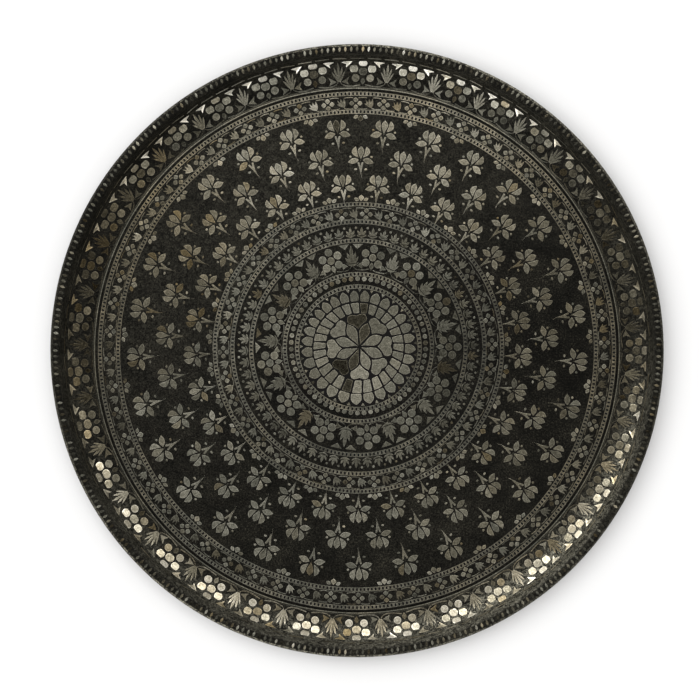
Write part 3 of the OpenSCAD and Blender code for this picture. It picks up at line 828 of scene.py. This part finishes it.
bed = start("heart_bed", bpy.ops.mesh.primitive_circle_add, vertices=96, radius=HEART_BED_R * MM, fill_type="NGON")
bed.data.transform(Matrix.Translation(Vector((*TONGUE_MIDDLE, FLOOR_Z + HEART_BED_UP - HEART_BED_T)) * MM))
edit(bed)
extrude(HEART_BED_T)
done()
normals_out(bed)
paint(bed.data, "seam", np.ones(len(bed.data.vertices)))
finish_piece(bed, None)
lay([petal], "centre_petals", PETALS, PETAL_FIRST, 0.43, 0.02, HEART, HEART_DRIFT,
    black_spots=[(24, 8, 0.23), (200, 6, 0.22)], **HEART_WEAR_AND_SHADING)
lay([lobe], "centre_lobes", PETALS, LOBE_FIRST, 0.43, 0.02, HEART, HEART_DRIFT,
    black_spots=[(5, 14, 0.15), (226, 11, 0.07)], **HEART_WEAR_AND_SHADING)
group = ring([cut(stave)], "centre_staves_cut", STAVES, STAVE_FIRST, STAVE_MIDDLE, STAVE_DRIFT)
points = read_points(group.data)
inner = np.hypot(*(points[:, :2] - np.array(STAVE_MIDDLE) * MM).T) < STAVE_FOOT_R * MM
points[inner, :2] += (np.array(HEART) - STAVE_MIDDLE) * MM
write_points(group.data, points)
age_and_shade(group, 0.44, 0.025, black_spots=[(7, 21.5, 0.15), (196, 18.5, 0.15)], **HEART_WEAR_AND_SHADING)
finish_piece(group, "centre_staves")
lay([tongue], "centre_tongues", STAVES, TONGUE_FIRST, 0.40, 0.025, TONGUE_MIDDLE, TONGUE_DRIFT,
    warmth=0.05, brown=0.02, tones=HEART_SHADING)
lay([spandrel], "centre_spandrels", STAVES, TONGUE_FIRST + 180 / STAVES, 0.36, 0.1, TONGUE_MIDDLE, TONGUE_DRIFT,
    margin=0, warmth=0.05)

# %% [markdown]
# Pierced strips part the bands. On the tray they are ribbons of silver with a row of square holes, in which
# the black paste of the bed shows. One cell, a face with a hole, is copied round the axis, and the cells are
# merged into a ribbon, which is then extruded into the ground. The bed under it is a flat hoop, spun from its
# section. The rungs between the holes have worn brighter than the rails beside them.

# %% Cells and hoops
STRIP_HALF = 1.08
HOLE_ACROSS = 0.72
HOLE_ALONG = 0.53
CELL_INSET = 0.3
HOOP_STEPS = 480


def turned(name, r, width, high):
    low = FLOOR_Z - DEEP
    corners = [(r - width / 2, low), (r + width / 2, low), (r + width / 2, high), (r - width / 2, high)]
    hoop = chain(name, [(x, 0, z) for x, z in corners])
    edit(hoop)
    sweep_round(HOOP_STEPS)
    done()
    return hoop


def strip_cell(name, r, count):
    cell = start(name, bpy.ops.mesh.primitive_plane_add, size=MM)
    share = math.degrees(math.pi / count)
    inside, outside = r - STRIP_HALF, r + STRIP_HALF
    corners = [clockwise(*c) for c in ((-share, inside), (share, inside), (share, outside), (-share, outside))]
    spots = cell.data.vertices
    order = sorted(range(4), key=lambda i: math.atan2(spots[i].co.y, spots[i].co.x))
    for i, (x, y) in zip(order, corners):
        spots[i].co = (x * MM, y * MM, (FLOOR_Z + RISE) * MM)
    edit(cell)
    bpy.ops.mesh.inset(thickness=CELL_INSET * MM)
    done()
    inner = [v for v in cell.data.vertices if abs(v.co.x) < corners[1][0] * MM - 1e-5]
    for v in inner:
        side = 1 if v.co.x > 0 else -1
        out = 1 if v.co.y > r * MM else -1
        v.co.x, v.co.y = side * HOLE_ALONG * MM, (r + out * HOLE_ACROSS) * MM
    for polygon in cell.data.polygons:
        polygon.select = all(cell.data.vertices[i] in inner for i in polygon.vertices)
    bpy.ops.object.mode_set(mode="EDIT")
    bpy.ops.mesh.select_mode(type="FACE")
    bpy.ops.mesh.delete(type="ONLY_FACE")
    bpy.ops.mesh.select_mode(type="VERT")
    done()
    return cell


print("holes of", 2 * HOLE_ALONG, "by", 2 * HOLE_ACROSS, "mm in strips", 2 * STRIP_HALF, "mm wide")

# %% [markdown]
# Seven strips are made from these: five in the medallion and two at the outer border. The holes of each were
# counted on the photo as well as its size allows.

# %% Pierced strips
MEDAL = (0.7, 1.4)
STRIP_BED = 0.3
RAIL_EDGE = 0.15
RAIL_TONE = -0.14
RUNG_TONE = 0.18
# Painted light and shade for the outer strips, wires and border by clock position: lighter at the top of the
# picture, darker round 3 and 8 to 9 o'clock.
OUTER_SHADING = [0.16, 0.13, -0.02, -0.06, -0.02, 0.03, 0.02, 0.0, -0.05, -0.05, 0.04, 0.12]


def pierced_strip(number, r, count, middle, tone, tones=BAND_SHADING, warmths=BAND_WARMTH):
    strip = strip_cell(f"pierced_strip_{number}_cut", r, count)
    edit(strip)
    copy_round(count)
    bpy.ops.mesh.select_all(action="SELECT")
    bpy.ops.mesh.remove_doubles(threshold=SAME_PLACE)
    extrude(-(RISE + DEEP))
    done()
    normals_out(strip)
    paint(strip.data, "seam", np.zeros(len(strip.data.vertices)))
    points = read_points(strip.data)
    rail = np.abs(np.hypot(points[:, 0], points[:, 1]) - r * MM) > (HOLE_ACROSS + RAIL_EDGE) * MM
    paint(strip.data, "rail", np.where(rail, RAIL_TONE, RUNG_TONE))
    bed = turned("strip_bed", r, 2 * (STRIP_HALF + STRIP_BED), FLOOR_Z + SEAM_UP)
    paint(bed.data, "seam", np.ones(len(bed.data.vertices)))
    only(bed, strip)
    bpy.ops.object.join()
    strip.data.transform(Matrix.Translation((middle[0] * MM, middle[1] * MM, 0)))
    weather_and_shade(strip, tone, tones, warmths)
    level = read_layer(strip.data, "tone") + read_layer(strip.data, "rail")
    paint(strip.data, "tone", level.clip(DARKEST, 1))
    finish_piece(strip, f"pierced_strip_{number}", "silver_strip")


for number, r, count in ((1, 30.3, 95), (2, 36.4, 122), (3, 53.0, 172), (4, 62.3, 205), (5, 71.0, 242)):
    pierced_strip(number, r, count, MEDAL, 0.33)
for number, r, count in ((6, 118.1, 404), (7, 127.0, 418)):
    pierced_strip(number, r, count, (0, 0), 0.42, OUTER_SHADING, FIELD_WARMTH)

# %% [markdown]
# Between the strips of the medallion lie a ring of dots, a band of thirteen flowers with leaves between them,
# and a band of small leaves. A flower is six discs with a bud at its foot, and thin wires swing from bud to
# leaf.

# %% Bands of the medallion
DOTS = 64
FLOWERS = 13
FLOWER_FIRST = 8.75
FLOWER_R = 44.6
FLOWER_PITCH = 4.3
FLOWER_DRIFT = (0.48, -1.9)
FLOWER_MIDDLE = (0.85, 1.8)
LEAF_FIRST = FLOWER_FIRST + 180 / FLOWERS
MEDAL_LEAF = [(62, 3.6), (37, 5.6), (18, 7.3), (0, 10.2), (-18, 7.3), (-37, 5.6), (-62, 3.6)]
SMALL_LEAF = [(62, 2.7), (31, 4.0), (0, 5.1), (-31, 4.0), (-62, 2.7)]
SMALL_MIDDLE = (0.65, 1.45)
SMALL_DRIFT = (3.1, 0.1)
SMALL_FIRST = 4.2


def band(outlines, name, first, brown=0.06, slot="silver_sheet"):
    lay(outlines, name, FLOWERS, first, 0.30, 0.05, FLOWER_MIDDLE, FLOWER_DRIFT, slot=slot, brown=brown)


lay([set_at(disc(2.2), 0, 33.2)], "dot_ring", DOTS, 2.9, 0.34, 0.06, (0.7, 2.35), (2.1, 0.0), brown=0.04)

discs = [set_at(disc(3.6), 0, FLOWER_R)]
for turn in (0, 68, 132, 228, 292):
    x, y = clockwise(turn, FLOWER_PITCH)
    discs.append(set_at(disc(3.85), x, FLOWER_R + y))
band(discs, "medallion_flowers", FLOWER_FIRST, brown=0.03)
band([set_at(blade(3.9, 2.2, belly=1.2), 0, FLOWER_R - 6.4)], "medallion_buds", FLOWER_FIRST)
band([set_at(leaf(MEDAL_LEAF, notch=0.68, spread=6.5), 0, 40.0)], "medallion_leaves", LEAF_FIRST, brown=0.1)
band(both([(1.0, 50.95), (3.2, 48.45), (6.2, 50.6)]), "medallion_corners", LEAF_FIRST)
side_bud = set_at([(-1.5, -1.3), (0.0, -0.9), (1.5, -1.2), (0.9, 0.4), (0.1, 1.7), (-0.8, 0.4)], 4.2, 40.3, 35)
band(both(side_bud), "medallion_side_buds", LEAF_FIRST)
run = [(0.6, 40.3), (1.6, 39.2), (3.4, 38.45), (6.0, 38.2), (9.0, 38.25), (12.2, 38.8)]
vine = [clockwise(a, r) for a, r in run + [(a, r - 0.4) for a, r in run[::-1]]]
band(both(vine), "medallion_vine", LEAF_FIRST, slot="silver_wire")

lay([set_at(leaf(SMALL_LEAF, notch=0.46, spread=9), 0, 54.45)], "small_leaves", DOTS, SMALL_FIRST, 0.30, 0.05,
    SMALL_MIDDLE, SMALL_DRIFT, brown=0.06)
lay([set_at(disc(1.1, corners=8), 0, 59.2)], "small_leaf_dots", DOTS, SMALL_FIRST + 180 / DOTS, 0.30, 0.07,
    SMALL_MIDDLE, SMALL_DRIFT)

# %% [markdown]
# The two narrow borders are alike: flowers of four dots, leaves with long teeth that lean to the left, and a
# thin vine that runs along both edges between them. The same function makes both, once inside the field and
# once outside it.

# %% Narrow borders
VINE_OUT = 2.95
VINE_IN = 2.85
toothed_leaf = [(1.1, -2.1), (1.75, -0.7), (1.75, 0.8), (1.2, 2.5), (0.6, 0.5), (-0.4, 2.4), (-0.65, 0.3),
                (-2.1, 1.85), (-1.35, -0.1), (-2.4, -0.2), (-0.9, -1.4)]
dot = [(1.2, 0), (0.72, 0.72), (0, 1.15), (-0.72, 0.72), (-1.2, 0), (-0.72, -0.72), (0, -1.15), (0.72, -0.72)]
vine_arc = wire(9, 14, width=0.34)


def border(name, count, first, r, middle, drift, tone, **places):
    quarter = math.pi * r / count / 2
    dots = [set_at(dot, x, r + y) for x, y in ((2.0, 0), (-2.0, 0), (0, 1.75), (0, -1.75))]
    lay(dots, f"{name}_flowers", count, first, tone, 0.07, middle, drift, brown=0.10, **places)
    lay([set_at(toothed_leaf, 0, r)], f"{name}_leaves", count, first + 180 / count, tone, 0.08, middle, drift,
        brown=0.14, **places)
    arcs = [set_at(vine_arc, side * quarter, y, turn)
            for y, turn in ((r + VINE_OUT, 180), (r - VINE_IN, 0)) for side in (-1, 1)]
    lay(arcs, f"{name}_vine", count, first, tone - 0.02, 0.06, middle, drift, margin=0, slot="silver_wire",
        **places)


border("inner_border", 34, 3.65, 66.4, (0.35, 1.15), (0.0, 0.0), 0.31)
border("outer_border", 56, 5.35, 122.3, (0.0, -0.1), (0.0, 0.0, 0.8, 0.1), 0.40, tones=OUTER_SHADING,
       warmths=FIELD_WARMTH)

# %% [markdown]
# The open field carries three rows of sprigs: a paddle-shaped petal between two fan-shaped ones, two leaf-like
# petals below, a forked stem and four dots. The rows shift from the axis towards the medallion's own middle as
# they come nearer to it. A small bud of three petals springs from the strip at each edge of the field.

# %% Sprigs
SPRIGS = 29
SPRIG_FIRST = 6.5
FAN_FIRST = 0.5
FIELD = {"tones": FIELD_SHADING, "warmths": FIELD_WARMTH}

top_petal = set_at(blade(7.5, 3.2, belly=1.75, side=8), 0, 0.1)
fan_petal = [(1.35, 1.9), (2.75, 2.55), (4.0, 3.3), (4.65, 4.4), (4.5, 5.5), (3.85, 6.5), (2.75, 7.35), (2.25, 5.8),
             (1.95, 4.0)]
low_petal = set_at(blade(5.7, 2.9, belly=0.95, side=6, bend=0.35), 1.05, 0.75, 102)
stem = [(0, -2.6), (0.75, -0.5), (1.5, -0.65), (0.45, -4.2), (0.3, -6.5), (0.55, -8.9), (-0.12, -6.5),
        (-0.45, -4.2), (-1.5, -0.65), (-0.75, -0.5)]
upper_dot = set_at(disc(1.15, 1.05, corners=8), 5.4, 2.2)
stem_dot = set_at(disc(1.45, 0.95, corners=8), 2.6, -4.1)


def row(number, r, size, first, middle, drift, black_spots=()):
    def set_row(outlines, part, tone, spread, brown, spots=()):
        lay([set_at(o, 0, r, 0, size) for o in outlines], f"row_{number}_{part}", SPRIGS, first, tone, spread,
            middle, drift, brown=brown, black_spots=spots, **FIELD)
    set_row([top_petal] + both(fan_petal) + both(low_petal), "petals", 0.36, 0.05, 0.06, black_spots)
    set_row([stem], "stems", 0.36, 0.05, 0.06)
    set_row(both(upper_dot) + both(stem_dot), "dots", 0.33, 0.09, 0.1)


row(1, 106.5, 1.0, SPRIG_FIRST + 0.13, (0.15, 0.45), (0.65, -0.59, -0.2, 0.0), [(-5.0, 110.9, 0.2)])
row(2, 92.35, 0.97, FAN_FIRST - 0.1, (0.05, 1.25), (0.75, -0.25))
row(3, 79.1, 0.94, SPRIG_FIRST + 0.05, (0.4, 1.05), (0.59, -0.59))

side_petal = set_at(set_at(blade(2.6, 1.7), 0, -1.3), 2.35, 1.25, 62)
fan = [set_at(blade(3.1, 2.6, belly=1.25), 0, 0.35)] + both(side_petal)
lay([set_at(o, 0, 72.1) for o in fan], "inner_fans", SPRIGS, FAN_FIRST, 0.35, 0.07, MEDAL, (0.59, -0.59), **FIELD)
lay([set_at(o, 0, 116.8, 180) for o in fan], "outer_fans", SPRIGS, FAN_FIRST - 0.3, 0.37, 0.08,
    drift=(0.68, -0.59), black_spots=[(0.9, 114.9, 0.2)], **FIELD)

# %% [markdown]
# On the wall the same flowers and leaves climb the cove. They are cut flat, as seen from above, and then moved:
# a long piece is bent, every point lifted onto the curve of the wall with the thickness of the sheet set square
# to it; a disc stays a flat plate, tipped to the slope of the wall under its own middle. The light catches the
# discs of a flower one by one, so their tone also goes by how far they stand from the foot of the wall.

# %% Onto the wall
WALL = 35
WALL_DEEP = 0.9
WALL_DRIFT = (3.11, -0.57, 0.02, -0.41)
DISC_UP = 0.15
LEAN_R = FLOOR_R + COVE_R * math.sin(LEAN)
# Painted light and shade on the wall by clock position: painted shade at 2 to 3 and 9 to 10 o'clock, where the wall
# mirrors the dim sides of the room.
WALL_SHADING = [0.08, 0.08, -0.36, -0.24, 0.0, 0.04, 0.05, 0.0, 0.05, -0.36, -0.26, -0.06]
WALL_WARMTH = [0.0, 0.0, 0.3, 0.4, 0.35, 0.35, 0.3, 0.35, 0.3, 0.5, 0.4, 0.1]
DISC_EDGES = (2.0, 4.9, 6.5, 9.0)
DISC_TONES = (
    [-0.18, -0.22, -0.02, 0.04, -0.16, 0.11, 0.18, 0.24, -0.04, 0.05, 0.08, -0.08],
    [-0.30, -0.24, -0.05, -0.05, -0.06, 0.02, 0.04, 0.02, 0.0, 0.0, 0.0, -0.10],
    [0.0, 0.06, -0.02, -0.04, -0.04, -0.09, -0.03, 0.05, 0.12, 0.04, 0.0, 0.04],
    [0.25, 0.22, 0.10, 0.10, 0.30, 0.32, 0.28, 0.25, 0.15, 0.10, 0.10, 0.25])


def wall_at(r):
    """Slope and height of the wall's face at these distances from the axis."""
    slope = np.arcsin(((r - FLOOR_R) / COVE_R).clip(0, math.sin(LEAN)))
    return slope, COVE_Z - COVE_R * np.cos(slope) + (r - LEAN_R).clip(0, None) * math.tan(LEAN)


def lay_on_wall(group, flat=False):
    points = read_points(group.data) / MM
    r = np.hypot(points[:, 0], points[:, 1])
    up = points[:, 2] - FLOOR_Z
    slope, face = wall_at(r)
    if flat:
        ids = islands(group.data)
        middle = middles(points, ids)
        middle_r = np.hypot(middle[:, 0], middle[:, 1])
        place = np.searchsorted(DISC_EDGES, middle_r - FLOOR_R)
        shift = np.choose(place, [by_hour(middle, hours) for hours in DISC_TONES])
        paint(group.data, "tone", (read_layer(group.data, "tone") + shift[ids]).clip(DARKEST, 1))
        slope, face = (v[ids] for v in wall_at(middle_r))
        face = face + (r - middle_r[ids]) * np.tan(slope) + DISC_UP
    new_r = r - up * np.sin(slope)
    points[:, 0] *= new_r / r
    points[:, 1] *= new_r / r
    points[:, 2] = face + up * np.cos(slope)
    write_points(group.data, points * MM)


def wall_ring(outlines, name, first, tone, spread, brown, flat=False, slot="silver_sheet", tones=WALL_SHADING):
    group = ring([cut(o, deep=WALL_DEEP) for o in outlines], f"{name}_cut", WALL, first, drift=WALL_DRIFT)
    age_and_shade(group, tone, spread, brown=brown, tones=tones, warmths=WALL_WARMTH)
    lay_on_wall(group, flat)
    finish_piece(group, name, slot)


print("the cove ends", round(LEAN_R, 2), "mm from the axis")

# %% [markdown]
# Thirty-five flowers stand on the wall: six discs, a bud at the foot, and a leaf of five fingers between every
# two, with corner pieces above it, side buds beside it and a vine that swings along the foot of the wall.

# %% Flowers and leaves of the wall
WALL_FIRST = -1.94
WALL_LEAF_FIRST = WALL_FIRST + 180 / WALL
WALL_R = FLOOR_R + 4.0
WALL_LEAF = [(34, 5.9), (17, 7.3), (0, 8.8), (-17, 7.3), (-34, 5.9)]
# Painted light and shade by clock position: at the foot, painted shade round 2 to 3 and 9 to 10 o'clock; at the top
# of the wall, painted highlights round 11 to 1 o'clock.
FOOT_SHADING = [-0.02, -0.05, -0.28, -0.18, -0.06, 0.06, 0.06, 0.06, -0.08, -0.32, -0.22, -0.14]
TOP_SHADING = [0.20, 0.18, 0.05, -0.08, 0.14, 0.0, 0.10, -0.10, -0.06, -0.12, 0.02, 0.38]
wall_corner = [(1.9, 8.5), (4.6, 8.6), (7.3, 8.4), (4.0, 6.1), (4.3, 7.5)]
wall_side = [(1.4, -0.6), (4.9, -2.3), (4.1, -0.5), (5.2, 1.6)]
swag = [(0.5, -0.5), (1.3, -1.7), (3.2, -2.55), (6.3, -2.85), (10.6, -2.5)]
swag = swag + [(x - 0.05, y - 0.42) for x, y in swag[::-1]]


def from_foot(outline):
    """Both sides of an outline that is drawn from the foot of the wall."""
    return both([(x, FLOOR_R + y) for x, y in outline])


wall_discs = [set_at(disc(w, h, 14), x, WALL_R + y) for w, h, x, y in (
    (4.3, 3.8, 0, 0.2), (4.0, 3.8, 4.6, 1.4), (4.0, 3.8, -4.6, 1.4),
    (3.75, 3.6, 3.7, -3.0), (3.75, 3.6, -3.7, -3.0), (4.3, 2.75, 0, 3.85))]
wall_ring(wall_discs, "wall_flowers", WALL_FIRST, 0.58, 0.07, 0.10, flat=True)
wall_ring([set_at(blade(3.4, 2.1, belly=1.25), 0, FLOOR_R - 2.3)], "wall_buds", WALL_FIRST, 0.38, 0.06, 0.2,
          tones=FOOT_SHADING)
wall_ring([set_at(leaf(WALL_LEAF, notch=0.34, spread=5, foot=0.7), 0, FLOOR_R - 0.6)], "wall_leaves",
          WALL_LEAF_FIRST, 0.52, 0.07, 0.1)
wall_ring(from_foot(wall_corner), "wall_corners", WALL_LEAF_FIRST, 0.62, 0.08, 0.05, tones=TOP_SHADING)
wall_ring(from_foot(wall_side), "wall_side_buds", WALL_LEAF_FIRST, 0.47, 0.06, 0.15, tones=FOOT_SHADING)
wall_ring(from_foot(swag), "wall_vine", WALL_LEAF_FIRST, 0.42, 0.05, 0.0, slot="silver_wire", tones=FOOT_SHADING)

# %% [markdown]
# Under the lip a thin line of silver runs round the wall, broken into short dashes where it has come loose. One
# dash is drawn along the circle and copied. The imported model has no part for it.

# %% Broken line under the lip
LINE_IN = 143.4
LINE_OUT = 143.65
DASHES = 105
dash_angles = (-1.35, -0.7, 0.0, 0.7, 1.35)
dash = [clockwise(way * a, r) for r, way in ((LINE_IN, 1), (LINE_OUT, -1)) for a in dash_angles]
group = ring([cut(dash, 0, 0.1, WALL_DEEP)], "wall_line_cut", DASHES, 0.0)
age_and_shade(group, 0.36, 0.1, brown=0.0, tones=TOP_SHADING, warmths=WALL_WARMTH)
lay_on_wall(group)
finish_piece(group, None, "silver_wire")

# %% [markdown]
# Two plain wires run round the edge of the floor beside a dark groove. They are hoops like the beds of the
# strips, only narrower. Short bars of silver cross the flat land on top of the lip, some worn away.

# %% Edge wires and lip bars
BARS = 324
# Painted light and shade on the lip bars by clock position, brightest at 12 o'clock.
BAR_SHADING = [0.12, -0.12, -0.12, -0.13, -0.13, 0.03, 0.03, -0.04, -0.18, -0.14, -0.05, -0.11]

for node, r, width, tone in (("floor_edge_wire", 129.7, 0.5, 0.46), ("wall_foot_wire", 130.45, 0.22, 0.3)):
    group = turned(f"{node}_cut", r, width, FLOOR_Z + RISE)
    weather_and_shade(group, tone, tones=OUTER_SHADING, speckle=0.0)
    finish_piece(group, node, "silver_strip")

bar = set_at(set_at(blade(2.6, 1.15, belly=1.1, side=5), 0, -1.3), 0, 147.2, 5)
group = ring([cut(bar, 0, 0.12)], "rim_bars_cut", BARS, 0.0)
age_and_shade(group, 0.40, 0.17, brown=0.15, tones=BAR_SHADING)
group.data.transform(Matrix.Translation((0, 0, (TRAY_H - FLOOR_Z) * MM)))
finish_piece(group, "rim_bars")
print("silver pieces:", len(pieces_made), "faces in all:", sum(pieces_made.values()))
